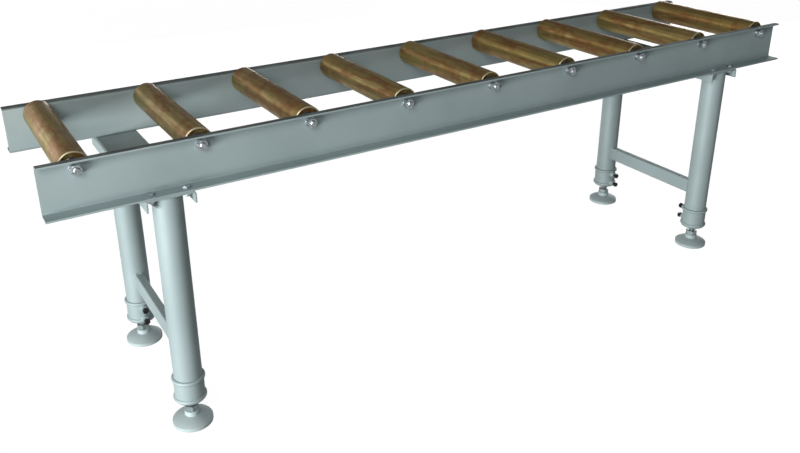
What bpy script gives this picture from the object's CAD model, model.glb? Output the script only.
# %% [markdown]
# # A steel roller conveyor
# The object is a free-standing bench. Two pressed side rails carry nine plated rollers, and four
# tube legs with levelling feet carry the rails. The CAD model already holds every piece in its
# real place, so this lesson starts from that fixed frame. It gives each piece a mesh with rounded
# edges, threads and welds, and then a finish that varies as real paint and plating do.

# %% Load the frame
import random
from math import acos, asin, atan2, cos, pi, radians, sin, sqrt, tan, tau

import bmesh
import bpy
from mathutils import Matrix, Vector


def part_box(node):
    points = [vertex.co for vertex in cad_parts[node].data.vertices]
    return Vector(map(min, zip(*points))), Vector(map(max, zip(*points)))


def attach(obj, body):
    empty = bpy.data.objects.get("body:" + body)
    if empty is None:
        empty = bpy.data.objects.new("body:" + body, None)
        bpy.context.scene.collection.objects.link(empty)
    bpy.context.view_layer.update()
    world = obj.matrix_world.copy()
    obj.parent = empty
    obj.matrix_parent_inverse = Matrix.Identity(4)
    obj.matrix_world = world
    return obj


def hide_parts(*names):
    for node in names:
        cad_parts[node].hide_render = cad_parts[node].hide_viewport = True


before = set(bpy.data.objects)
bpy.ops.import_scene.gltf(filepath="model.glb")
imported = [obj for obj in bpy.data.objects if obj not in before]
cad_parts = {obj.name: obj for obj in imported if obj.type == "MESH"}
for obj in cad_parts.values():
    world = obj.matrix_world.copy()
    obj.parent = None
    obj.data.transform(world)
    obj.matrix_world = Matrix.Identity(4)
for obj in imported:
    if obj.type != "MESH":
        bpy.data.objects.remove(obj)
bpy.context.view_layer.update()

# %% [markdown]
# ## Places from the frame
# Every CAD node knows its own box, so most places can be read and don't have to be typed in.
# Blender works in metres here. A factor for millimetres keeps small sizes readable.

# %% Measure the main places
MM = 0.001
CORNERS = ("left_front", "left_rear", "right_front", "right_rear")
STANDS = ("left", "right")
roller_numbers = sorted(int(name[7:]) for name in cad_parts
                        if name.startswith("roller_") and name[7:].isdigit())


def middle(node):
    """Middle of a CAD node's box."""
    low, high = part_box(node)
    return (low + high) / 2


def extent(node):
    """Size of a CAD node's box along X, Y and Z."""
    low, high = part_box(node)
    return high - low


rail_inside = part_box("rear_rail")[0].y
leg_radius = extent("left_front_leg").x / 2
leg_offset = middle("left_rear_leg").y
print("rollers:", len(roller_numbers), "rail:", [round(side / MM) for side in extent("front_rail")])

# %% [markdown]
# ## Shader building blocks
# A material in Blender is a small network of nodes. A few helpers add a node, fill its inputs and
# hand back its output. Colours are easier to judge as screen values from 0 to 255, so one helper
# turns those into the linear values of shaders.

# %% Helpers for shader nodes
def screen(red, green, blue):
    """Linear colour for a shader from screen values."""
    linear = [((value / 255 + 0.055) / 1.055) ** 2.4 for value in (red, green, blue)]
    return (*linear, 1.0)


def blank(thing):
    """Emptied node tree of a material or a world."""
    thing.use_nodes = True
    thing.node_tree.nodes.clear()
    return thing.node_tree


def add(tree, kind, inputs=None, **settings):
    """Adds a shader node with its settings, and links or fills its inputs."""
    made = tree.nodes.new("ShaderNode" + kind)
    for name, value in settings.items():
        setattr(made, name, value)
    for key, value in (inputs or {}).items():
        socket = made.inputs[key]
        if isinstance(value, bpy.types.NodeSocket):
            tree.links.new(value, socket)
        else:
            socket.default_value = value
    return made


# %% [markdown]
# More helpers do sums on values and colours, and make noises and colour ramps.

# %% Sums, noise and ramps
def sums(tree, operation, first, second=0.0):
    """Result of a sum on two values."""
    return add(tree, "Math", {0: first, 1: second}, operation=operation).outputs[0]


def product(tree, first, *others):
    """All the values multiplied."""
    for value in others:
        first = sums(tree, "MULTIPLY", first, value)
    return first


def span(tree, value, low, high, new_low=0.0, new_high=1.0):
    """Value stretched from one range to another, and held inside the new one."""
    ends = {"Value": value, "From Min": low, "From Max": high, "To Min": new_low, "To Max": new_high}
    return add(tree, "MapRange", ends, interpolation_type="SMOOTHSTEP").outputs[0]


def mixed(tree, share, first, second):
    """Colour between two colours."""
    return add(tree, "Mix", {0: share, 6: first, 7: second}, data_type="RGBA").outputs[2]


def noise(tree, scale, stretch=(1, 1, 1), detail=3.0, distortion=0.0):
    """Noise that sticks to the piece; stretch squeezes it along an axis."""
    place = add(tree, "TexCoord").outputs["Object"]
    squeezed = add(tree, "Mapping", {"Vector": place, "Scale": stretch}).outputs[0]
    settings = {"Vector": squeezed, "Scale": scale, "Detail": detail, "Distortion": distortion}
    return add(tree, "TexNoise", settings).outputs[0]


def ramp(tree, value, stops):
    """Colour looked up from stops (place, screen colour)."""
    made = add(tree, "ValToRGB", {0: value})
    steps = made.color_ramp.elements
    while len(steps) < len(stops):
        steps.new(0.5)
    for step, (place, colour) in zip(steps, stops):
        step.position = place
        step.color = screen(*colour)
    return made.outputs[0]


# %% [markdown]
# ## Wear and dirt as node groups
# Edge wear, settled dirt, the skin of sprayed paint and the fine lines of drawn metal show up on
# several finishes. Each one is built once as a node group with named sockets, and the materials
# place it with their own values.

# %% Helpers for node groups
def effect(name, inputs):
    """New node group; returns its tree and the sockets of its inputs."""
    tree = bpy.data.node_groups.new(name, "ShaderNodeTree")
    for label, value in inputs.items():
        socket = tree.interface.new_socket(label, in_out="INPUT", socket_type="NodeSocketFloat")
        socket.default_value = value
    return tree, tree.nodes.new("NodeGroupInput").outputs


def give(tree, outputs):
    """Ends a node group with its named outputs."""
    for label in outputs:
        tree.interface.new_socket(label, in_out="OUTPUT", socket_type="NodeSocketFloat")
    end = tree.nodes.new("NodeGroupOutput").inputs
    for label, value in outputs.items():
        tree.links.new(value, end[label])
    print("group:", tree.name, "gives", list(outputs))
    return tree


def use(tree, group, values=None):
    """Places a node group in a material and returns its outputs."""
    return add(tree, "Group", values, node_tree=group).outputs


# %% [markdown]
# Paint and plating wear through first where an edge is rubbed. The Bevel node gives the normal
# that a rounded edge would have. Where it differs from the true normal there is an edge, and a
# noise breaks the line up so that it doesn't look drawn with a ruler.

# %% Edge wear group
NO_EDGE, FULL_EDGE = 0.985, 0.80
PATCH_FROM, PATCH_FULL = 0.40, 0.62

tree, start = effect("edge wear", {"Width": 1.2 * MM, "Patch Size": 90.0, "Amount": 1.0})
normals = {0: add(tree, "Bevel", {"Radius": start["Width"]}, samples=6).outputs[0],
           1: add(tree, "NewGeometry").outputs["Normal"]}
likeness = add(tree, "VectorMath", normals, operation="DOT_PRODUCT").outputs["Value"]
edge = span(tree, likeness, NO_EDGE, FULL_EDGE)
patches = span(tree, noise(tree, start["Patch Size"], detail=4.0), PATCH_FROM, PATCH_FULL)
edge_wear = give(tree, {"Mask": product(tree, edge, patches, start["Amount"])})

# %% [markdown]
# Workshop dust and oil settle on faces that look up, most of all beside the rollers. The Z part of
# the normal finds those faces. The film is thick at the height of the rollers, thinner on the beams
# between the rails and on the feet, and thin elsewhere. A cloudy noise makes it uneven.

# %% Settled dirt group
RAIL_SHADE = 4 * MM
ROLLER_LEVEL, BEAM_LEVEL, FOOT_LEVEL = (0.55, 0.62), (0.45, 0.52), (0.05, 0.03)
ROLLER_FILM, BEAM_FILM, FOOT_FILM, THIN_FILM = 1.0, 0.25, 0.3, 0.12
LEVEL_FROM, LEVEL_FULL = 0.25, 0.9

tree, start = effect("settled dirt", {"Amount": 1.0, "Cloud Size": 14.0})
normal = add(tree, "NewGeometry").outputs["Normal"]
upward = add(tree, "SeparateXYZ", {0: normal}).outputs["Z"]
place = add(tree, "TexCoord").outputs["Object"]
apart = add(tree, "SeparateXYZ", {0: place}).outputs
aside = sums(tree, "ABSOLUTE", apart["Y"])
between = span(tree, aside, rail_inside + RAIL_SHADE, rail_inside - RAIL_SHADE)
thick = span(tree, apart["Z"], *ROLLER_LEVEL, THIN_FILM, ROLLER_FILM)
for more in (product(tree, between, span(tree, apart["Z"], *BEAM_LEVEL, 0.0, BEAM_FILM)),
             span(tree, apart["Z"], *FOOT_LEVEL, 0.0, FOOT_FILM)):
    thick = sums(tree, "MAXIMUM", thick, more)
clouds = span(tree, noise(tree, start["Cloud Size"], detail=5.0), 0.2, 0.7, 0.6, 1.0)
film = product(tree, span(tree, upward, LEVEL_FROM, LEVEL_FULL), thick, clouds, start["Amount"])
settled_dirt = give(tree, {"Mask": film})

# %% [markdown]
# Sprayed enamel is never quite even. It clouds a little where the coat is thinner, and its skin
# has the shallow ripple of an orange peel. The group gives both, one for colour and one for bump.

# %% Paint skin group
MID_NOISE = (0.3, 0.7)

tree, start = effect("paint skin", {"Cloud Size": 5.0, "Ripple Size": 420.0})
cloud = noise(tree, start["Cloud Size"], detail=6.0)
paint_skin = give(tree, {"Cloud": span(tree, cloud, *MID_NOISE),
                         "Ripple": noise(tree, start["Ripple Size"], detail=2.0)})

# %% [markdown]
# A drawn tube keeps fine lines along the way it was pulled, and plating blooms in soft blotches.
# Squeezing a noise along one axis draws its spots out into lines along that axis. The squeeze is
# an input for each axis, so pieces that lie in any direction can share the group.

# %% Metal grain group
tree, start = effect("metal grain", {"Along X": 1.0, "Along Y": 1.0, "Along Z": 1.0,
                                     "Line Scale": 300.0, "Bloom Scale": 30.0})
axes = {number: start[f"Along {axis}"] for number, axis in enumerate("XYZ")}
stretch = add(tree, "CombineXYZ", axes).outputs[0]
lines = noise(tree, start["Line Scale"], stretch, detail=2.0)
bloom = noise(tree, start["Bloom Scale"], detail=4.0)
metal_grain = give(tree, {"Lines": span(tree, lines, *MID_NOISE),
                          "Bloom": span(tree, bloom, *MID_NOISE)})

# %% [markdown]
# ## The finishes
# Each finish is one material around a Principled BSDF. It is kept under the name of the record's
# material slot, so that pieces can ask for a finish by its slot.

# %% Helpers for finishes
finishes = {}


def finish(slot):
    """Empty node tree of a new material for a slot."""
    finishes[slot] = bpy.data.materials.new(slot)
    print("finish:", slot)
    return blank(finishes[slot])


def coat(tree, looks):
    """Ends a finish with a shader that has those looks."""
    shader = add(tree, "BsdfPrincipled", looks)
    add(tree, "OutputMaterial", {"Surface": shader.outputs[0]})


def bump(tree, height, strength, depth):
    """Normal of a surface that rises and falls with height."""
    return add(tree, "Bump", {"Height": height, "Strength": strength, "Distance": depth}).outputs[0]


# %% [markdown]
# The rails, beams, braces, legs and collars are sprayed in a grey-green enamel. Its metal flakes
# give it a silvery half gloss, so the shader is partly metallic and rather rough. The colour drifts
# slightly over a metre, dirt dulls the faces that look up, and the edges of the sheet are rubbed
# down to dark steel. The foot plates wear a paler paint, and the floor has scuffed their rims.

# %% Enamel of frame and feet
SILVER_SHARE = 0.28
ENAMEL_SHINE = 0.12
ENAMEL_ROUGH = (0.64, 0.56)
DIRT_AMOUNT = 0.85
DIRT_ROUGH = 0.2
PEEL_STRENGTH, PEEL_DEPTH = 0.12, 0.4 * MM


def enamel(slot, light, dark, dirt, worn_edge, wear):
    """Sprayed enamel between two tones, with dirt on top and worn edges."""
    tree = finish(slot)
    skin = use(tree, paint_skin)
    film = use(tree, settled_dirt, {"Amount": DIRT_AMOUNT})["Mask"]
    worn = use(tree, edge_wear, {"Amount": wear})["Mask"]
    tone = mixed(tree, skin["Cloud"], screen(*dark), screen(*light))
    dirty = mixed(tree, film, tone, screen(*dirt))
    rough = span(tree, skin["Cloud"], 0.0, 1.0, *ENAMEL_ROUGH)
    coat(tree, {"Base Color": mixed(tree, worn, dirty, screen(*worn_edge)),
                "Roughness": sums(tree, "ADD", rough, product(tree, film, DIRT_ROUGH)),
                "Normal": bump(tree, skin["Ripple"], PEEL_STRENGTH, PEEL_DEPTH),
                "Metallic": SILVER_SHARE, "Specular IOR Level": ENAMEL_SHINE})


enamel("frame_paint", light=(160, 175, 176), dark=(150, 165, 166), dirt=(70, 70, 62),
       worn_edge=(104, 112, 110), wear=0.7)
enamel("foot_paint", light=(184, 199, 200), dark=(168, 183, 184), dirt=(120, 124, 122),
       worn_edge=(214, 222, 222), wear=0.8)

# %% [markdown]
# The rollers are plated with yellow zinc. The film is thinner than a wavelength of light, so it
# shifts between gold, olive and a reddish brown in soft bands. Two noises of different shape pick
# the colour from a ramp. The tube was drawn, so fine darker lines run along it. The film is cloudy,
# and the shader is therefore only partly metallic. The broken edge at each end is rubbed bare, so
# the colour there goes by the distance from the middle of the roller.

# %% Yellow zinc of the rollers
ROLLER_HALF = extent("roller_1").y / 2
BARE_FROM, BARE_FULL = 1.8 * MM, 1.2 * MM
DRIFT_SHARE, RING_SHARE = 0.8, 0.2
LINE_SHARE = 0.35
ROLLER_ROUGH = (0.38, 0.5)

tree = finish("roller_zinc")
grain = use(tree, metal_grain, {"Along Y": 0.02, "Line Scale": 220.0})
drift = noise(tree, 17.0, stretch=(1, 0.16, 1), distortion=0.6)
rings = noise(tree, 30.0, stretch=(0.05, 1, 0.05), detail=2.0)
shade = sums(tree, "ADD", product(tree, drift, DRIFT_SHARE), product(tree, rings, RING_SHARE))
film = ramp(tree, shade, ((0.34, (146, 135, 79)), (0.44, (161, 138, 82)), (0.50, (144, 103, 60)),
                          (0.57, (166, 145, 91)), (0.66, (139, 126, 70))))
lined = mixed(tree, span(tree, grain["Lines"], 0.0, 1.0, 0.0, LINE_SHARE), film, screen(88, 70, 38))
place = add(tree, "TexCoord").outputs["Object"]
along = sums(tree, "ABSOLUTE", add(tree, "SeparateXYZ", {0: place}).outputs["Y"])
broken = span(tree, along, ROLLER_HALF - BARE_FROM, ROLLER_HALF - BARE_FULL)
coat(tree, {"Base Color": mixed(tree, broken, lined, screen(190, 180, 148)),
            "Roughness": span(tree, grain["Bloom"], 0.0, 1.0, *ROLLER_ROUGH),
            "Normal": bump(tree, grain["Lines"], 0.08, 0.2 * MM),
            "Metallic": 0.75, "Specular IOR Level": 0.35})

# %% [markdown]
# Nuts, bolts and axles are plated with plain bright zinc, which blooms in soft grey blotches. On the
# posts and spindles, near the floor, it has gone dull. Bearings are ground steel. The clamp screws
# are blackened, so they stay dark but shine a little where a spanner has rubbed them. All four are
# made alike, from a light, a dark and a rubbed tone and a range of roughness.

# %% Zinc, bearing steel and black oxide
for slot, light, dark, rubbed, rough, metallic in (
        ("bright_zinc", (194, 200, 203), (152, 160, 164), (222, 225, 227), (0.44, 0.28), 1.0),
        ("dull_zinc", (152, 163, 164), (131, 142, 143), (182, 192, 193), (0.50, 0.36), 0.8),
        ("bearing_steel", (176, 178, 180), (140, 143, 146), (200, 202, 204), (0.34, 0.22), 1.0),
        ("black_oxide", (44, 44, 46), (26, 26, 28), (104, 104, 106), (0.50, 0.36), 0.7)):
    tree = finish(slot)
    grain = use(tree, metal_grain, {"Bloom Scale": 120.0, "Line Scale": 900.0})
    worn = use(tree, edge_wear, {"Amount": 0.8, "Width": 0.8 * MM, "Patch Size": 260.0})["Mask"]
    blotches = mixed(tree, grain["Bloom"], screen(*dark), screen(*light))
    coat(tree, {"Base Color": mixed(tree, worn, blotches, screen(*rubbed)),
                "Roughness": span(tree, grain["Bloom"], 0.0, 1.0, *rough),
                "Normal": bump(tree, grain["Lines"], 0.06, 0.1 * MM), "Metallic": metallic})

# %% [markdown]
# ## Mesh building blocks
# Nearly every piece is either pressed from sheet, turned on a lathe or screwed together, so the
# mesh helpers do what those machines do. Real edges are never perfectly sharp. An outline is
# therefore given as corners with a radius each, and the rounding is worked out from them.

# %% Rounded outlines
def rounded(corners, steps=4):
    """Closed outline from corners (u, v, radius), with each corner rounded."""
    points = []
    for number, (u, v, radius) in enumerate(corners):
        corner = Vector((u, v))
        if radius == 0:
            points.append(corner)
            continue
        back = (Vector(corners[number - 1][:2]) - corner).normalized()
        ahead = (Vector(corners[(number + 1) % len(corners)][:2]) - corner).normalized()
        half = acos(max(-1.0, min(1.0, back.dot(ahead)))) / 2
        centre = corner + (back + ahead).normalized() * radius / sin(half)
        first = corner + back * radius / tan(half) - centre
        last = corner + ahead * radius / tan(half) - centre
        begin = atan2(first.y, first.x)
        turn = (atan2(last.y, last.x) - begin + pi) % tau - pi
        for step in range(steps + 1):
            angle = begin + turn * step / steps
            points.append(centre + radius * Vector((cos(angle), sin(angle))))
    return points


def oblong(left, right, low, high, radius, steps=4):
    """Rectangle with rounded corners."""
    return rounded([(u, v, radius) for u, v in (
        (left, low), (right, low), (right, high), (left, high))], steps)


# %% [markdown]
# Rolled beads and pressed domes are arcs, given by their two ends and how far they stand out.

# %% Arcs
def bulge(first, last, rise, steps=10):
    """Corners along an arc from first to last that stands out by rise on the right of the way."""
    first, last = Vector(first), Vector(last)
    way = last - first
    chord = way.length
    way.normalize()
    right = Vector((way.y, -way.x))
    radius = (chord * chord / 4 + rise * rise) / (2 * rise)
    half = asin(chord / 2 / radius)
    centre = (first + last) / 2 - right * (radius - rise)
    corners = []
    for step in range(steps + 1):
        angle = half * (2 * step / steps - 1)
        point = centre + radius * (right * cos(angle) + way * sin(angle))
        corners.append((point.x, point.y, 0))
    return corners


# %% [markdown]
# A lathe turns an outline round an axis, and bmesh has the same tool under the name spin. The next
# helper skins a row of rings with faces. It serves threads, nuts and weld beads, whose outline
# changes along the way.

# %% Turn and skin
TOUCHING = 0.0001 * MM


def turned(points, steps):
    """Closed outline (radius, height) turned about Z."""
    form = bmesh.new()
    dots = [form.verts.new((radius, 0, height)) for radius, height in points]
    edges = [form.edges.new(pair) for pair in zip(dots, dots[1:] + dots[:1])]
    bmesh.ops.spin(form, geom=dots + edges, axis=(0, 0, 1), cent=(0, 0, 0),
                   angle=tau, steps=steps, use_merge=True)
    bmesh.ops.remove_doubles(form, verts=form.verts, dist=TOUCHING)
    lines_left = [edge for edge in form.edges if not edge.link_faces]
    bmesh.ops.delete(form, geom=lines_left, context="EDGES")
    bmesh.ops.recalc_face_normals(form, faces=form.faces)
    return form


def skinned(rings, loop=False):
    """Faces between rings of points; a loop joins the last to the first, or else both ends close."""
    form = bmesh.new()
    rows = [[form.verts.new(point) for point in ring] for ring in rings]
    for near, far in zip(rows, rows[1:] + (rows[:1] if loop else [])):
        count = len(near)
        for number in range(count):
            after = (number + 1) % count
            form.faces.new((near[number], near[after], far[after], far[number]))
    if not loop:
        form.faces.new(rows[0])
        form.faces.new(rows[-1])
    bmesh.ops.remove_doubles(form, verts=form.verts, dist=TOUCHING)
    bmesh.ops.recalc_face_normals(form, faces=form.faces)
    return form


# %% [markdown]
# A press brake gives sheet pieces one outline along their whole length, which is a row of just two
# rings, and so is a plain pin.

# %% Press and pin
def pressed(points, begin, stop):
    """Closed outline (y, z) drawn out along X."""
    return skinned([[(x, y, z) for y, z in points] for x in (begin, stop)])


def turns(count):
    """Even angles round a circle."""
    return [tau * step / count for step in range(count)]


def polar(radius, angle, level):
    """Point at a radius and an angle about Z."""
    return Vector((radius * cos(angle), radius * sin(angle), level))


def circle(radius, level, sides):
    """Ring of points about Z."""
    return [polar(radius, angle, level) for angle in turns(sides)]


def pin(radius, begin, stop, sides=32):
    """Straight round pin along Z, for punching holes."""
    return skinned([circle(radius, begin, sides), circle(radius, stop, sides)])


# %% [markdown]
# Forms are made about the Z axis and then moved to their place. A place is a matrix: where the
# form's foot goes, which way its axis points, and how far it is turned about that axis.

# %% Places
def at(point, direction=(0, 0, 1), turn=0.0):
    """Matrix that puts a form's foot at a point with its axis along a direction."""
    aim = Vector((0, 0, 1)).rotation_difference(Vector(direction)).to_matrix().to_4x4()
    return Matrix.Translation(Vector(point)) @ aim @ Matrix.Rotation(turn, 4, "Z")


def upright(node, level=0.0, turn=0.0):
    """Place on the upright axis of a CAD node."""
    axis = middle(node)
    return at((axis.x, axis.y, level), turn=turn)


def lying(node, y=0.0, side=1, turn=0.0):
    """Place on the level axis of a CAD node, pointing to the rear, or to the front with side -1."""
    axis = middle(node)
    return at((axis.x, y, axis.z), (0, side, 0), turn)


def moved(form, place):
    """Form moved to a place."""
    bmesh.ops.transform(form, matrix=place, verts=form.verts)
    return form


# %% [markdown]
# The same nut sits on the conveyor eighteen times. One form is copied to all its places and the
# copies become one piece.

# %% Copies
def as_mesh(form, name="pattern"):
    """Mesh of a form, which is used up."""
    mesh = bpy.data.meshes.new(name)
    form.to_mesh(mesh)
    form.free()
    return mesh


def together(*forms):
    """One form that holds all the forms."""
    whole = bmesh.new()
    for form in forms:
        pattern = as_mesh(form)
        whole.from_mesh(pattern)
        bpy.data.meshes.remove(pattern)
    return whole


def copies(form, places):
    """One form that holds a copy at each place."""
    return together(*[moved(form.copy(), place) for place in places])


# %% [markdown]
# A finished form becomes an object. Edges bent by more than forty degrees stay crisp and the rest
# are shaded smooth. Weighted normals keep wide flat faces flat beside narrow rounded edges. Then
# the piece is tied to its body, stands in for its CAD nodes and names its finish.

# %% Hand a piece to the frame
CREASE = radians(40)
EASED_FROM = radians(60)


def placed(name, data):
    """Object in the scene for a mesh, a lamp or a camera."""
    thing = bpy.data.objects.new(name, data)
    bpy.context.scene.collection.objects.link(thing)
    return thing


def piece(name, form, slot, body, *nodes, eased=0.0):
    """Object of a form, with eased edges if asked, tied to the frame."""
    mesh = as_mesh(form, name)
    mesh.polygons.foreach_set("use_smooth", [True] * len(mesh.polygons))
    mesh.set_sharp_from_angle(angle=CREASE)
    mesh.materials.append(finishes[slot])
    thing = placed(name, mesh)
    if eased:
        edges = thing.modifiers.new("eased edges", "BEVEL")
        edges.width = eased
        edges.segments = 2
        edges.limit_method = "ANGLE"
        edges.angle_limit = EASED_FROM
        edges.harden_normals = True
    shading = thing.modifiers.new("even shading", "WEIGHTED_NORMAL")
    shading.keep_sharp = True
    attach(thing, body)
    if nodes:
        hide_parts(*nodes)
    print("piece:", name, len(mesh.polygons), "faces")


# %% [markdown]
# Holes are punched and bosses are welded on. In Blender a Boolean modifier does both. The helper
# joins forms on, takes others out, clears slivers away, and hands back the plain result.

# %% Join on and cut out
SLIVER = 0.02 * MM


def carved(form, added=(), cut=()):
    """Form with others joined on and then others taken out of it."""
    things = [placed("carving", as_mesh(part)) for part in (form, *added, *cut)]
    for number, thing in enumerate(things[1:]):
        step = things[0].modifiers.new("step", "BOOLEAN")
        step.operation = "UNION" if number < len(added) else "DIFFERENCE"
        step.object = thing
    bpy.context.view_layer.update()
    result = bmesh.new()
    result.from_object(things[0], bpy.context.evaluated_depsgraph_get())
    bmesh.ops.remove_doubles(result, verts=result.verts, dist=SLIVER)
    bmesh.ops.dissolve_degenerate(result, edges=result.edges, dist=SLIVER)
    for thing in things:
        mesh = thing.data
        bpy.data.objects.remove(thing)
        bpy.data.meshes.remove(mesh)
    return result


# %% [markdown]
# ## Side rails
# Each rail is a strip of sheet bent twice on a press brake: a narrow lip at the top and a wider
# flange at the foot, both turned outwards. The outside of a bend has a larger radius than the
# inside by the thickness of the sheet. Holes for the axles and the bolts are punched through.

# %% Side rails
SHEET = 4 * MM
BEND = 3 * MM
OUTER_BEND = BEND + SHEET
LIP = 20 * MM
SHEARED = 0.6 * MM
AXLE_HOLE = 6.25 * MM
BOLT_HOLE = 4.25 * MM
BOLT_SPREAD = 34.5 * MM
BOLT_INSET = 21 * MM
bolt_lines = [middle(f"{stand}_cross_beam").x + side * BOLT_SPREAD
              for stand in STANDS for side in (-1, 1)]


def rail(name, out):
    """Bent rail whose lip and flange point along out, with its holes."""
    low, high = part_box(name)
    inner = high.y if out < 0 else low.y
    wide, tall = high.y - low.y, high.z - low.z
    section = rounded((
        (wide, 0, SHEARED), (wide, SHEET, SHEARED), (SHEET, SHEET, BEND),
        (SHEET, tall - SHEET, BEND), (LIP, tall - SHEET, SHEARED), (LIP, tall, SHEARED),
        (0, tall, OUTER_BEND), (0, 0, OUTER_BEND)))
    strip = pressed([(inner + out * u, low.z + v) for u, v in section], low.x, high.x)
    axle_places = [lying(f"axle_{number}", inner) for number in roller_numbers]
    bolt_places = [at((x, inner + out * BOLT_INSET, low.z)) for x in bolt_lines]
    holes = [copies(pin(AXLE_HOLE, -2 * SHEET, 2 * SHEET), axle_places),
             copies(pin(BOLT_HOLE, -SHEET, 2 * SHEET), bolt_places)]
    piece(f"{name}_sheet", carved(strip, cut=holes), "frame_paint", "frame", name)


rail("front_rail", -1)
rail("rear_rail", 1)

# %% [markdown]
# ## Cross beams and braces
# A shallow channel, open downwards, bolts to both rails and spreads the load to the two legs of a
# stand. It is bent from the same sheet as the rails.

# %% Cross beams
BEAM_EDGE = 0.5 * MM

for stand in STANDS:
    low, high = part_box(f"{stand}_cross_beam")
    half = (high.x - low.x) / 2
    tall = high.z - low.z
    section = rounded((
        (-half, 0, SHEARED), (-half, tall, OUTER_BEND), (half, tall, OUTER_BEND), (half, 0, SHEARED),
        (half - SHEET, 0, SHEARED), (half - SHEET, tall - SHEET, BEND),
        (SHEET - half, tall - SHEET, BEND), (SHEET - half, 0, SHEARED)))
    channel = pressed([(u, low.z + v) for u, v in section], low.y, high.y)
    across = at(((low.x + high.x) / 2, 0, 0), turn=pi / 2)
    piece(f"{stand}_beam_channel", moved(channel, across), "frame_paint", "frame",
          f"{stand}_cross_beam", eased=BEAM_EDGE)

# %% [markdown]
# The brace lower down is a rectangular tube. Its ends are cut to the round of the legs, so each
# point of its outline stops where it meets the leg. An outer and an inner skin make the wall.

# %% Braces between the legs
BRACE_WALL = 2 * MM
BRACE_CORNER = 4 * MM


def brace_end(inset, stand, side):
    """Outline of the brace tube, with each point moved along Y to where it meets the leg."""
    centre, half = middle(f"{stand}_brace"), extent("left_brace") / 2
    wide, tall = half.x - inset, half.z - inset
    return [Vector((centre.x + x, side * (leg_offset - sqrt(leg_radius ** 2 - x * x)), centre.z + z))
            for x, z in oblong(-wide, wide, -tall, tall, BRACE_CORNER - inset)]


for stand in STANDS:
    rings = [brace_end(inset, stand, side)
             for inset, side in ((0, -1), (0, 1), (BRACE_WALL, 1), (BRACE_WALL, -1))]
    piece(f"{stand}_brace_tube", skinned(rings, loop=True), "frame_paint", "frame", f"{stand}_brace")

# %% [markdown]
# ## Legs and their welds
# The legs are plain round tube, squared off at both ends, so a rectangle beside the axis is
# turned round it. The saw leaves a small broken edge.

# %% Legs
LEG_WALL = 3 * MM
TUBE_EDGE = 0.6 * MM

for corner in CORNERS:
    low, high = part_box(f"{corner}_leg")
    wall = oblong(leg_radius - LEG_WALL, leg_radius, low.z, high.z, TUBE_EDGE)
    form = moved(turned(wall, steps=80), upright(f"{corner}_leg"))
    piece(f"{corner}_leg_tube", form, "frame_paint", "frame", f"{corner}_leg")

# %% [markdown]
# A weld bead is a row of small overlapping puddles. A round section is carried along the seam, and
# its radius swells and shrinks with each puddle.

# %% Helpers for weld beads
WELD = 2.6 * MM
PUDDLE = 4 * MM
SWELL_MID, SWELL = 0.9, 0.12
WELD_STEP = 1 * MM
WELD_SIDES = 8
NEARLY = 1e-9


def evenly(path, step):
    """Points at an even step along a closed path."""
    sides = list(zip(path, path[1:] + path[:1]))
    total = sum((last - first).length for first, last in sides)
    count = round(total / step)
    points, walked = [], 0.0
    for first, last in sides:
        length = (last - first).length
        while len(points) < count and total * len(points) / count <= walked + length + NEARLY:
            share = (total * len(points) / count - walked) / max(length, NEARLY)
            points.append(first.lerp(last, share))
        walked += length
    return points


def weld_bead(path):
    """Rippled bead along a closed seam."""
    dots = evenly(path, WELD_STEP)
    centre = sum(dots, Vector()) / len(dots)
    rings = []
    for number, dot in enumerate(dots):
        way = (dots[(number + 1) % len(dots)] - dots[number - 1]).normalized()
        out = dot - centre
        out = (out - way * out.dot(way)).normalized()
        side = way.cross(out)
        size = WELD * (SWELL_MID + SWELL * cos(tau * number * WELD_STEP / PUDDLE))
        rings.append([dot + size * (out * cos(angle) + side * sin(angle))
                      for angle in turns(WELD_SIDES)])
    return skinned(rings, loop=True)


# %% [markdown]
# A weld runs round the top of each leg under the beam and round each end of the brace. The beads of
# a stand become one piece, which stands in for no CAD node because CAD has no welds.

# %% Weld beads
SEAM_POINTS = 48

for stand in STANDS:
    beads = [weld_bead(brace_end(0, stand, side)) for side in (-1, 1)]
    for side in ("front", "rear"):
        top = upright(f"{stand}_{side}_leg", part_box(f"{stand}_{side}_leg")[1].z)
        beads.append(weld_bead([top @ dot for dot in circle(leg_radius, 0, SEAM_POINTS)]))
    piece(f"{stand}_welds", together(*beads), "frame_paint", "frame")

# %% [markdown]
# ## Rollers, bearings and axles
# A roller is a tube with a disc set a little way into each end, and a ball bearing sits in each
# disc. The broken edge at the end of the tube catches the light as a pale ring. One outline holds
# tube and discs, so the lathe helper makes the roller in one go.

# %% Rollers
ROLLER_WALL = 3 * MM
BROKEN_EDGE = 1.5 * MM
DISC_RECESS = 4 * MM
DISC_WIDTH = 11 * MM
BEARING_RADIUS = 17.5 * MM


def roller_outline(radius, half):
    """Half outlines of tube and end discs, one mirrored on the other."""
    bore = radius - ROLLER_WALL
    face, back = half - DISC_RECESS, half - DISC_RECESS - DISC_WIDTH
    one_end = [(radius, half - BROKEN_EDGE, 0.6 * MM), (radius - BROKEN_EDGE, half, 0.4 * MM),
               (bore, half, 0.3 * MM), (bore, face, 0.8 * MM), (BEARING_RADIUS, face, 0.3 * MM),
               (BEARING_RADIUS, back, 0), (bore, back, 0)]
    return rounded(one_end + [(r, -z, edge) for r, z, edge in reversed(one_end)])


for number in roller_numbers:
    name = f"roller_{number}"
    size = extent(name)
    form = turned(roller_outline(size.x / 2, size.y / 2), steps=96)
    piece(f"{name}_tube", moved(form, lying(name)), "roller_zinc", name, name)

# %% [markdown]
# A sealed ball bearing shows three rings from its side: the outer race, the inner race and a
# shield between them that lies a little deeper. Only a sliver shows in the gap beside the rail.

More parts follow.
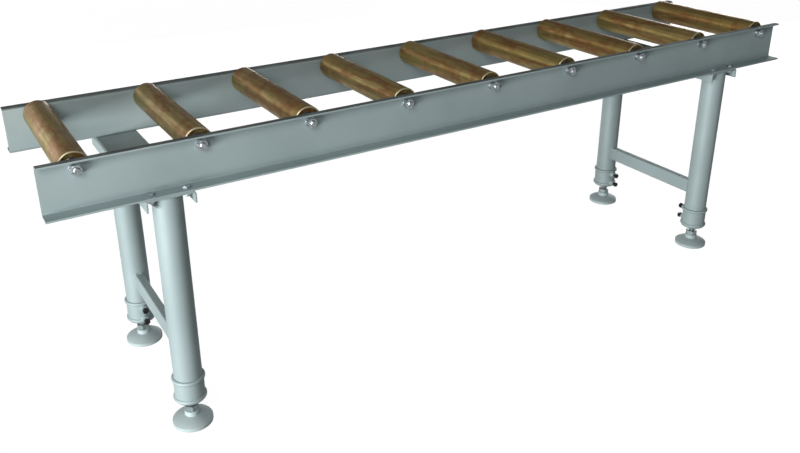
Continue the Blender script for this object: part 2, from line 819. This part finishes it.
# %% Bearings in the roller ends
BEARING_BORE = 7.55 * MM
INNER_RACE = 10.4 * MM
OUTER_RACE = 14.6 * MM
SHIELD_DEPTH = 0.7 * MM
RACE_EDGE = 0.4 * MM
SHIELD_EDGE = 0.2 * MM

near = [(BEARING_BORE, 0, RACE_EDGE), (INNER_RACE, 0, SHIELD_EDGE), (INNER_RACE, SHIELD_DEPTH, 0),
        (OUTER_RACE, SHIELD_DEPTH, 0), (OUTER_RACE, 0, SHIELD_EDGE), (BEARING_RADIUS, 0, RACE_EDGE)]
far = [(radius, DISC_WIDTH - level, edge) for radius, level, edge in reversed(near)]
bearing = turned(rounded(near + far), steps=48)
for number in roller_numbers:
    roller = f"roller_{number}"
    node = f"roller_bearings_{number}"
    low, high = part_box(node)
    pair = [lying(node, begin) for begin in (low.y, high.y - DISC_WIDTH)]
    piece(f"{roller}_bearing_pair", copies(bearing, pair), "bearing_steel", roller, node)

# %% [markdown]
# Axles, bolts and spindles are bars with a thread, which is a ridge that climbs by one pitch each
# turn. Each ring of points asks how far it is along that climb at every angle and takes its radius
# from the answer, so the thread is real geometry and not a stripe.

# %% Bars with threads
ROWS_PER_PITCH = 6
THREAD_DEPTH = 0.61


def bar(stretches, tip, sides=32):
    """Round bar along Z from stretches (begin, end, radius, pitch); a pitch of 0 is plain."""
    foot, head = stretches[0][0], stretches[-1][1]
    rings = []
    for begin, stop, radius, pitch in stretches:
        rows = max(1, round((stop - begin) / pitch * ROWS_PER_PITCH)) if pitch else 1
        for row in range(rows + 1):
            z = begin + (stop - begin) * row / rows
            most = tip + min(z - foot, head - z)
            ring = []
            for step, angle in enumerate(turns(sides)):
                climb = (z / pitch - step / sides) % 1 if pitch else 0.5
                depth = THREAD_DEPTH * pitch * abs(2 * climb - 1)
                ring.append(polar(min(radius - depth, most), angle, z))
            rings.append(ring)
    return skinned(rings)


# %% [markdown]
# The axles don't turn. They are drawn bar with a shoulder against the inside of each rail and a
# thread beyond it.

# %% Axles
AXLE_RADIUS = 7.5 * MM
AXLE_THREAD = 6 * MM
AXLE_PITCH = 1.75 * MM
AXLE_TIP = 4.6 * MM
thread_from = rail_inside + SHEET

for number in roller_numbers:
    node = f"axle_{number}"
    low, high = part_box(node)
    form = bar(((low.y, -thread_from, AXLE_THREAD, AXLE_PITCH),
                (-thread_from, -rail_inside, AXLE_THREAD, 0),
                (-rail_inside, rail_inside, AXLE_RADIUS, 0),
                (rail_inside, thread_from, AXLE_THREAD, 0),
                (thread_from, high.y, AXLE_THREAD, AXLE_PITCH)), AXLE_TIP)
    piece(f"{node}_bar", moved(form, lying(node)), "bright_zinc", "frame", node)

# %% [markdown]
# ## Fasteners
# A hexagon nut starts as a hexagon bar, and a lathe then turns its corners off at thirty degrees.
# That leaves the curved edge at the top of each flat. The rings of the helper follow those steps:
# round face, turned-off hexagon, hexagon, and a bore with its own broken edge.

# %% Hexagon nuts and heads
TURNED_OFF = 0.95
TURNING_SLOPE = tan(radians(30))
BORE_EDGE = 0.7 * MM
HEX_POINTS = 48


def hexagon(across, height, bore=0.0, foot_turned=True):
    """Hexagon nut, or a head where there is no bore, standing on Z = 0."""
    face = TURNED_OFF * across / 2
    angles = turns(HEX_POINTS)
    sizes = [across / 2 / cos(angle % (pi / 3) - pi / 6) for angle in angles]
    slopes = [(size - face) * TURNING_SLOPE for size in sizes]
    lows = slopes if foot_turned else [0.0] * HEX_POINTS
    highs = [height - slope for slope in slopes]
    flats = [[polar(*point) for point in zip(sizes, angles, levels)] for levels in (lows, highs)]
    rings = [circle(face, 0, HEX_POINTS), *flats, circle(face, height, HEX_POINTS)]
    if bore:
        mouth = bore + BORE_EDGE
        rings += [circle(radius, level, HEX_POINTS) for radius, level in (
            (mouth, height), (bore, height - BORE_EDGE), (bore, BORE_EDGE), (mouth, 0))]
    return skinned(rings, loop=bool(bore))


# %% [markdown]
# Outside each rail an axle carries a flat washer, a spring washer and a nut. The spring washer is
# a ring that was cut through and twisted open, so it is skinned along a turn that stops short of
# a full circle and climbs slightly.

# %% Washers
AXLE_BORE = AXLE_THREAD + 0.3 * MM
FLAT_WASHER, FLAT_RADIUS, FLAT_EDGE = 2 * MM, 12 * MM, 0.4 * MM
SPRING_WASHER, SPRING_RADIUS, SPRING_EDGE = 2.4 * MM, 10.4 * MM, 0.3 * MM
WIRE_SHARE, CLIMB_SHARE = 0.8, 0.2
SPLIT = 0.05
RING_STEPS = 40

flat_washer = turned(oblong(AXLE_BORE, FLAT_RADIUS, 0, FLAT_WASHER, FLAT_EDGE, steps=3), steps=48)
wire = oblong(AXLE_BORE, SPRING_RADIUS, 0, WIRE_SHARE * SPRING_WASHER, SPRING_EDGE, steps=3)
rings = []
for step in range(RING_STEPS + 1):
    angle = tau * (1 - SPLIT) * step / RING_STEPS
    climb = CLIMB_SHARE * SPRING_WASHER * step / RING_STEPS
    rings.append([polar(radius, angle, level + climb) for radius, level in wire])
spring_washer = skinned(rings)
print("faces of a spring washer:", len(spring_washer.faces))

# %% [markdown]
# A fitter tightens each nut until it is fast and leaves it at any angle. Dice with a fixed seed
# choose the angles, so that no two nuts look alike and yet each run gives the same ones.

# %% Washers and nuts on the axles
AXLE_NUT_WIDTH, AXLE_NUT_HEIGHT = 19 * MM, 8.4 * MM
dice = random.Random(7)


def on_axles(height):
    """A place at each axle end, that far out from the rail, at any turn."""
    return [lying(f"axle_{number}", side * (rail_inside + SHEET + height), side, dice.uniform(0, tau))
            for number in roller_numbers for side in (-1, 1)]


nut = hexagon(AXLE_NUT_WIDTH, AXLE_NUT_HEIGHT, AXLE_THREAD)
for name, form, height in (("axle_washers", flat_washer, 0),
                           ("axle_spring_washers", spring_washer, FLAT_WASHER),
                           ("axle_nuts", nut, FLAT_WASHER + SPRING_WASHER)):
    piece(name, copies(form, on_axles(height)), "bright_zinc", "frame", "axle_nuts_and_washers")

# %% [markdown]
# Eight bolts hold the rails to the beams, heads up on the flange and nuts inside the channel. Head
# and shank are two forms of one piece, as they are one forging on the real bolt.

# %% Bolts between rails and beams
BOLT_RADIUS = 4 * MM
BOLT_PITCH = 1.25 * MM
BOLT_WIDTH = 13 * MM
BOLT_HEAD = 5.5 * MM
BOLT_NUT = 6.5 * MM
PLAIN_SHANK = 2 * MM
SUNK = 0.5 * MM
SMALL_TIP = 2.9 * MM

bolt_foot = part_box("beam_bolts_and_nuts")[0].z
flange_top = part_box("front_rail")[0].z + SHEET
beam_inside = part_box("left_cross_beam")[1].z - SHEET
thread_top = beam_inside - flange_top + PLAIN_SHANK
bolt_points = [(x, side * (rail_inside + BOLT_INSET)) for x in bolt_lines for side in (-1, 1)]
spins = [dice.uniform(0, tau) for point in bolt_points]
shank = bar(((bolt_foot - flange_top, thread_top, BOLT_RADIUS, BOLT_PITCH),
             (thread_top, SUNK, BOLT_RADIUS, 0)), SMALL_TIP, sides=24)
bolt = together(hexagon(BOLT_WIDTH, BOLT_HEAD, foot_turned=False), shank)
nut = hexagon(BOLT_WIDTH, BOLT_NUT, BOLT_RADIUS)
for name, form, level in (("beam_bolts", bolt, flange_top),
                          ("beam_nuts", nut, beam_inside - BOLT_NUT)):
    places = [at((x, y, level), turn=spin) for (x, y), spin in zip(bolt_points, spins)]
    piece(name, copies(form, places), "bright_zinc", "frame", "beam_bolts_and_nuts")

# %% [markdown]
# ## Collars and clamp screws
# A sleeve with a rolled bead at each end closes the foot of each leg. Two bosses stand on its
# inner side, and a screw through each one grips the post inside. The sleeve is turned, the bosses are
# joined on by a Boolean, and the bore and the screw holes are cut last, as a machinist would.

# %% Collars
WAIST = 32 * MM
BEAD_RISE, BEAD_HEIGHT, BEAD_STEPS = 3.5 * MM, 9 * MM, 14
SLEEVE_LEDGE = 4 * MM
CORE = 10 * MM
BOSS_CORE = 1 * MM
BOSS_BURIED, BOSS_FLARED, BOSS_NECK, BOSS_REACH = 20 * MM, 31 * MM, 38 * MM, 41 * MM
BOSS_ROOT, BOSS_FOOT, BOSS_RADIUS = 11 * MM, 10 * MM, 8 * MM
SCREW_RADIUS = 4 * MM
SCREW_LEVELS = (10 * MM, 40 * MM)
BORE_CORE = 2 * MM
CUT_PAST = 5 * MM


def collar(tall):
    """Beaded sleeve standing on Z = 0, with its two bosses towards +Y."""
    beads = [bulge((WAIST, foot), (WAIST, foot + BEAD_HEIGHT), BEAD_RISE, BEAD_STEPS)
             for foot in (0, tall - BEAD_HEIGHT)]
    sleeve = turned(rounded([(CORE, 0, 0), *beads[0], *beads[1], (CORE, tall, 0)]), steps=96)
    boss = rounded(((BOSS_CORE, BOSS_BURIED, 0), (BOSS_ROOT, BOSS_BURIED, 0),
                    (BOSS_FOOT, BOSS_FLARED, 0), (BOSS_RADIUS, BOSS_NECK, 2 * MM),
                    (BOSS_RADIUS, BOSS_REACH, 1 * MM), (BOSS_CORE, BOSS_REACH, 0)))
    levels = [at((0, 0, level), (0, 1, 0)) for level in SCREW_LEVELS]
    bosses = [moved(turned(boss, steps=40), level) for level in levels]
    inside = leg_radius - LEG_WALL
    bore = turned(((BORE_CORE, -CUT_PAST), (inside, -CUT_PAST), (inside, SLEEVE_LEDGE),
                   (leg_radius, SLEEVE_LEDGE), (leg_radius, tall + CUT_PAST),
                   (BORE_CORE, tall + CUT_PAST)), steps=96)
    screw_hole = pin(SCREW_RADIUS, CUT_PAST, BOSS_REACH + CUT_PAST)
    return carved(sleeve, added=bosses, cut=[bore, copies(screw_hole, levels)])


for corner in CORNERS:
    low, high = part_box(f"{corner}_collar")
    inward = 0.0 if middle(f"{corner}_leg").y < 0 else pi
    form = moved(collar(high.z - low.z), upright(f"{corner}_leg", low.z, inward))
    piece(f"{corner}_collar_sleeve", form, "frame_paint", "frame", f"{corner}_collar")

# %% [markdown]
# Each clamp screw is a small hexagon bolt that points at the axis of the leg. Its tip presses on the
# post, and its head stands clear of the boss, so a spanner can reach it.

# %% Clamp screws
SCREW_HEAD_AT = 47 * MM
SCREW_HEAD = 6 * MM
SCREW_TIP_AT = 26.8 * MM
thread_end = SCREW_HEAD_AT + SUNK

head = moved(hexagon(BOLT_WIDTH, SCREW_HEAD, foot_turned=False), at((0, 0, SCREW_HEAD_AT)))
shank = bar(((SCREW_TIP_AT, thread_end, SCREW_RADIUS, BOLT_PITCH),
             (thread_end, SCREW_HEAD_AT + SMALL_TIP, SCREW_RADIUS, 0)), SMALL_TIP, sides=24)
screw_places = []
for corner in CORNERS:
    foot = middle(f"{corner}_leg")
    sleeve_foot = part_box(f"{corner}_collar")[0].z
    inward = (0, 1, 0) if foot.y < 0 else (0, -1, 0)
    for level in SCREW_LEVELS:
        screw_places.append(at((foot.x, foot.y, sleeve_foot + level), inward, dice.uniform(0, tau)))
screws = copies(together(head, shank), screw_places)
piece("leg_clamp_screws", screws, "black_oxide", "frame", "clamp_screws")

# %% [markdown]
# ## Telescopic posts
# Inside each leg slides a thinner tube. A tapered plug closes its foot and carries the thread of
# the levelling spindle. Only the plug shows while the leg is short. The tube comes into view
# when the clamp screws are loosened and the leg is drawn out.

# %% Posts
POST_RADIUS, POST_WALL = 26.5 * MM, 3 * MM
PLUG_NOSE = 17 * MM
PLUG_TAPER = 8 * MM
PLUG_RIM = PLUG_TAPER + 2 * MM
PLUG_TOP = PLUG_RIM + 18 * MM
SPINDLE_BORE = 8.05 * MM

for corner in CORNERS:
    low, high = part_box(f"{corner}_post")
    tall = high.z - low.z
    outline = rounded((
        (SPINDLE_BORE, 0, 0.8 * MM), (PLUG_NOSE, 0, 1.2 * MM), (WAIST, PLUG_TAPER, 0.8 * MM),
        (WAIST, PLUG_RIM, 0.6 * MM), (POST_RADIUS, PLUG_RIM, 0.2 * MM), (POST_RADIUS, tall, 0.6 * MM),
        (POST_RADIUS - POST_WALL, tall, 0.6 * MM), (POST_RADIUS - POST_WALL, PLUG_TOP, 0.5 * MM),
        (SPINDLE_BORE, PLUG_TOP, 0.5 * MM)))
    form = moved(turned(outline, steps=72), upright(f"{corner}_post", low.z))
    piece(f"{corner}_post_tube", form, "dull_zinc", f"{corner}_post", f"{corner}_post")

# %% [markdown]
# ## Levelling feet
# The foot plate is a pressed dome with an upright rim and a hub on top. A seat in the hub takes the
# foot of the spindle.

# %% Foot plates
RIM = 8 * MM
HUB_RADIUS, HUB_TOP = 16 * MM, 30 * MM
DOME_TOP, DOME_RISE = 19 * MM, 1.4 * MM
SEAT_RADIUS = 8.1 * MM
SEAT_FLOOR = HUB_TOP - 12 * MM

for corner in CORNERS:
    size = extent(f"{corner}_foot_plate").x / 2
    dome = bulge((size - 0.8 * MM, RIM + 0.4 * MM), (HUB_RADIUS + 1.2 * MM, DOME_TOP), DOME_RISE)
    outline = rounded((
        (0, 0, 0), (size, 0, 0.8 * MM), (size, RIM, 0.5 * MM), *dome,
        (HUB_RADIUS, DOME_TOP + 0.6 * MM, 0.4 * MM), (HUB_RADIUS, HUB_TOP, 1 * MM),
        (SEAT_RADIUS, HUB_TOP, 0.4 * MM), (SEAT_RADIUS, SEAT_FLOOR, 0), (0, SEAT_FLOOR, 0)))
    form = moved(turned(outline, steps=80), upright(f"{corner}_foot_plate"))
    piece(f"{corner}_foot_dome", form, "foot_paint", f"{corner}_foot", f"{corner}_foot_plate")

# %% [markdown]
# The spindle stands in the hub and its nut is locked on, so turning the nut turns the spindle and
# lifts or lowers the leg. Its thread has a pitch of two millimetres, as in the joint of the frame.

# %% Spindles and their nuts
SPINDLE_RADIUS = 8 * MM
SPINDLE_PITCH = 2 * MM
SPINDLE_PLAIN = 10 * MM
SPINDLE_TIP = 6 * MM
FOOT_NUT_WIDTH = 27 * MM

for corner in CORNERS:
    node = f"{corner}_spindle"
    low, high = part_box(node)
    thread_foot = low.z + SPINDLE_PLAIN
    form = bar(((low.z, thread_foot, SPINDLE_RADIUS, 0),
                (thread_foot, high.z, SPINDLE_RADIUS, SPINDLE_PITCH)), SPINDLE_TIP)
    piece(f"{corner}_spindle_bar", moved(form, upright(node)), "dull_zinc", node, node)
    low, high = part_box(f"{node}_nut")
    form = hexagon(FOOT_NUT_WIDTH, high.z - low.z, SPINDLE_RADIUS)
    place = upright(node, low.z, dice.uniform(0, tau))
    piece(f"{corner}_lock_nut", moved(form, place), "dull_zinc", node, f"{node}_nut")

# %% [markdown]
# ## Floor and room
# The object stands in a white studio. A white floor would throw a lot of light up at it, so this one
# is a dark matt sheet laid over white. The camera sees the white room through it, and reflections
# see a dim even glow. The sheet still takes the soft shadow under the feet, and legs that are wound
# out below the floor stay in sight. Far from the object it fades into the white.

# %% Floor
FLOOR_SIZE = 18.0
FLOOR_WHITE = 0.96
FLOOR_SHINE = 0.5
FLOOR_MATT = 0.16
FADE_NEAR, FADE_FAR = 2.5, 7.0

grid = bmesh.new()
bmesh.ops.create_grid(grid, x_segments=8, y_segments=8, size=FLOOR_SIZE / 2)
floor = placed("studio_floor", as_mesh(grid, "studio_floor"))
paper = bpy.data.materials.new("studio_floor")
tree = blank(paper)
matt = add(tree, "BsdfDiffuse", {"Color": (FLOOR_MATT, FLOOR_MATT, FLOOR_MATT, 1.0)}).outputs[0]
place = add(tree, "TexCoord").outputs["Object"]
away = add(tree, "VectorMath", {0: place}, operation="LENGTH").outputs["Value"]
white = span(tree, away, FADE_NEAR, FADE_FAR, FLOOR_WHITE, 1.0)
path = add(tree, "LightPath").outputs
mirrored = sums(tree, "MAXIMUM", path["Is Glossy Ray"], path["Is Transmission Ray"])
glow = add(tree, "Emission", {"Strength": product(tree, mirrored, FLOOR_SHINE)}).outputs[0]
clear = add(tree, "BsdfTransparent", {"Color": white}).outputs[0]
passing = sums(tree, "MAXIMUM", path["Is Camera Ray"], path["Is Shadow Ray"])
under = add(tree, "MixShader", {0: passing, 1: glow, 2: clear}).outputs[0]
both = add(tree, "AddShader", {0: matt, 1: under}).outputs[0]
add(tree, "OutputMaterial", {"Surface": both})
floor.data.materials.append(paper)
print("floor:", FLOOR_SIZE, "m")

# %% [markdown]
# The room is bright at the left front, where its windows are, and dim overhead and at the far right.
# That is what gives round steel its light and dark bands. The camera sees white in every direction.
# The room throws little light on the object, and none from below the floor, because the lamps do
# most of the work.

# %% Room
ROOM_LIGHT = 0.12
WINDOW_SIDE = (-0.8, -0.6, 0.0)
DIM_WALL, DIM_CEILING = 0.3, 0.5
WHITE = (1, 1, 1, 1)

room = bpy.data.worlds.new("studio_room")
bpy.context.scene.world = room
tree = blank(room)
direction = add(tree, "TexCoord").outputs["Generated"]
height = add(tree, "SeparateXYZ", {0: direction}).outputs["Z"]
aims = {0: direction, 1: WINDOW_SIDE}
towards = add(tree, "VectorMath", aims, operation="DOT_PRODUCT").outputs["Value"]
walls = span(tree, towards, -0.4, 0.6, DIM_WALL, 1.0)
ceiling = span(tree, height, 0.15, 0.7, 1.0, DIM_CEILING)
path = add(tree, "LightPath").outputs
shown = sums(tree, "MAXIMUM", path["Is Glossy Ray"], path["Is Transmission Ray"])
above = product(tree, sums(tree, "GREATER_THAN", height, 0.0), ROOM_LIGHT)
strength = product(tree, walls, ceiling, sums(tree, "MAXIMUM", shown, above))
room_light = add(tree, "Background", {"Color": WHITE, "Strength": strength}).outputs[0]
white = add(tree, "Background", {"Color": WHITE}).outputs[0]
pick = add(tree, "MixShader", {0: path["Is Camera Ray"], 1: room_light, 2: white}).outputs[0]
add(tree, "OutputWorld", {"Surface": pick})
print("room light:", ROOM_LIGHT)

# %% [markdown]
# ## Lamps
# A high lamp at the left front lights the rollers and the flanges. A broad low one at the left draws
# the bright side of each leg, and its light fades along the rails towards the far end. Three weaker
# ones keep the back and the right end readable from other sides.

# %% Lamps
def lamp(name, place, aim, wide, tall, watts):
    """Soft lamp that looks at a point."""
    light = bpy.data.lights.new(name, "AREA")
    light.shape = "RECTANGLE"
    light.size = wide
    light.size_y = tall
    light.energy = watts
    thing = placed(name, light)
    thing.location = place
    thing.rotation_euler = (Vector(aim) - Vector(place)).to_track_quat("-Z", "Y").to_euler()
    print("lamp:", name, watts, "W")


lamp("key_lamp", (-2.6, -2.1, 2.4), (-0.3, 0, 0.7), 1.2, 1.6, 70)
lamp("low_lamp", (-4.1, -1.6, 0.35), (0.2, 0, 0.3), 1.8, 0.9, 186)
lamp("back_lamp", (-2.6, 3.2, 1.0), (0.2, 0, 0.4), 2.4, 1.8, 16)
lamp("rear_lamp", (0.6, 3.2, 0.3), (0.2, 0, 0.4), 2.6, 0.5, 30)
lamp("side_lamp", (3.4, 1.6, 0.9), (0.6, 0, 0.4), 1.2, 1.2, 34)

# %% [markdown]
# ## Camera
# The photograph was taken from the left front, a little above the rollers. The lens shift slides
# the picture without turning the camera, which keeps the legs closer to upright.

# %% Camera
CAMERA_PLACE = Vector((-1.1624, -1.6515, 1.1877))
CAMERA_AIM = Vector((-0.1996, 0.0, 0.3968))
CAMERA_ROLL = radians(-0.77)

eye = bpy.data.cameras.new("photo_camera")
eye.sensor_width = 36.0
eye.lens = 37.81
eye.shift_x = 0.0269
eye.shift_y = -0.0744
camera = placed("photo_camera", eye)
look = (CAMERA_AIM - CAMERA_PLACE).to_track_quat("-Z", "Y").to_matrix().to_4x4()
camera.matrix_world = Matrix.Translation(CAMERA_PLACE) @ look @ Matrix.Rotation(CAMERA_ROLL, 4, "Z")
bpy.context.scene.camera = camera
bpy.context.scene.view_settings.view_transform = "Standard"
print("camera at", [round(value, 3) for value in CAMERA_PLACE])
